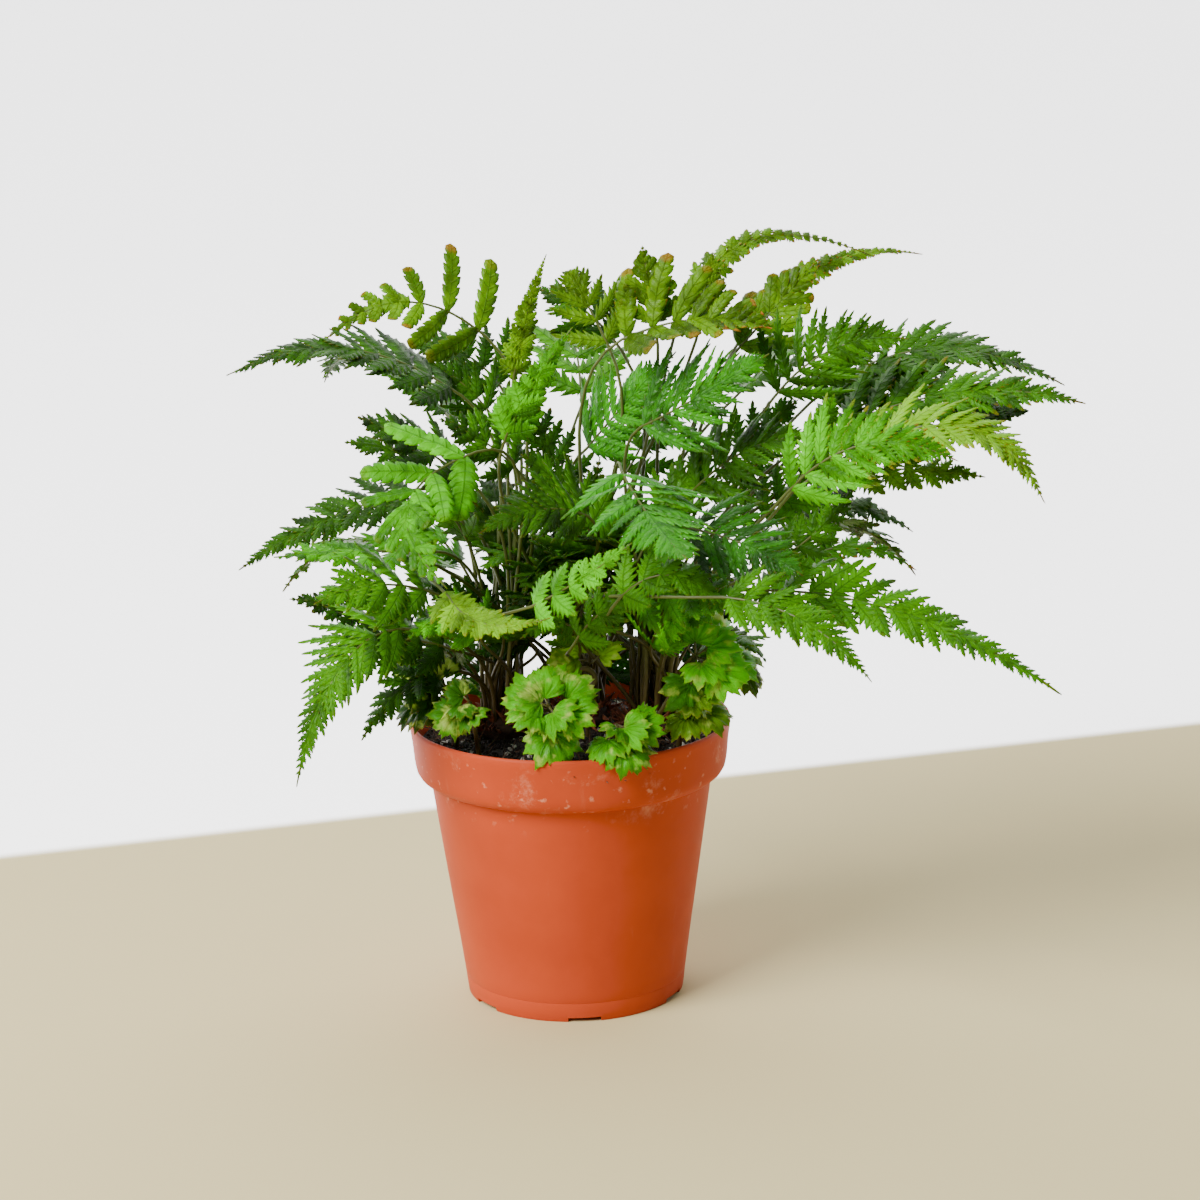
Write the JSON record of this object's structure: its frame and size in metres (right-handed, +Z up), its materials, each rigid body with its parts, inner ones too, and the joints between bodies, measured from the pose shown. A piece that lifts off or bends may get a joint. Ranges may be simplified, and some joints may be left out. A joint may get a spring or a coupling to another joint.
{
  "type": "potted fern",
  "caption": "Bushy fern with toothed, divided arching fronds and young rosettes at the rim, in a round tapered nursery pot with a deep rim band and a notched foot.",
  "frame": {"origin": "middle of the whole plant's outline seen from above, on the ground plane that the pot's foot stands on; the pot's own axis is at x = -30 mm, y = -8.6 mm", "axes": "+Z up, +X towards the long drooping fronds on the viewer's right, -Y towards the front of the plant"},
  "size_m": [0.2781, 0.2354, 0.2559],
  "materials": {
    "terracotta_plastic": "satin",
    "potting_mix": "rough",
    "crown_scales": "rough",
    "leaf_pale": "satin",
    "leaf_lime": "satin",
    "leaf_mid": "satin",
    "leaf_jade": "gloss",
    "leaf_deep": "satin",
    "leaf_olive": "satin",
    "crozier_green": "satin"
  },
  "bodies": {
    "root": {"pot": "terracotta_plastic", "potting_mix": "potting_mix", "crown_left": "crown_scales", "crown_middle": "crown_scales", "crown_right": "crown_scales", "crozier": "crozier_green", "sprout_front": "leaf_lime", "sprout_front_right": "leaf_lime", "sprout_left": "leaf_mid", "sprout_front_left": "leaf_lime", "sprout_right": "leaf_lime", "sprout_right_front": "leaf_olive", "sprout_middle": "leaf_pale", "sprout_right_back": "leaf_olive", "sprout_left_back": "leaf_lime", "frond_left_cascade": "leaf_lime", "frond_centre_star": "leaf_jade", "frond_centre_fan": "leaf_jade", "frond_top_centre": "leaf_olive", "frond_upper_left": "leaf_pale", "frond_left_long": "leaf_deep", "frond_top_arch": "leaf_olive", "frond_top_right_tip": "leaf_pale", "frond_far_upper": "leaf_deep", "frond_far_lower": "leaf_mid", "frond_right_droop": "leaf_pale", "frond_right_low_long": "leaf_mid", "frond_right_bright": "leaf_lime", "frond_right_front": "leaf_jade", "frond_low_bright": "leaf_lime", "frond_left_low_droop": "leaf_mid", "frond_left_spear": "leaf_lime", "frond_front_sweep": "leaf_lime", "frond_front_pale": "leaf_pale", "frond_centre_high": "leaf_jade", "frond_top_left_arm": "leaf_mid", "frond_top_spear": "leaf_pale", "frond_top_right_leaf": "leaf_olive", "frond_left_round": "leaf_deep", "frond_left_shade": "leaf_deep", "frond_left_back": "leaf_deep", "frond_left_long_low": "leaf_deep", "frond_left_bright_low": "leaf_lime", "frond_left_mid_front": "leaf_mid", "frond_low_short": "leaf_mid", "frond_dark_feather": "leaf_deep", "frond_right_upper": "leaf_mid", "frond_right_inner": "leaf_mid", "frond_right_thin": "leaf_deep", "frond_right_curl": "leaf_mid", "frond_back_left": "leaf_deep", "frond_back_middle": "leaf_mid", "frond_back_right": "leaf_mid", "frond_back_low_left": "leaf_mid", "frond_back_low_right": "leaf_deep"}
  },
  "joints": []
}
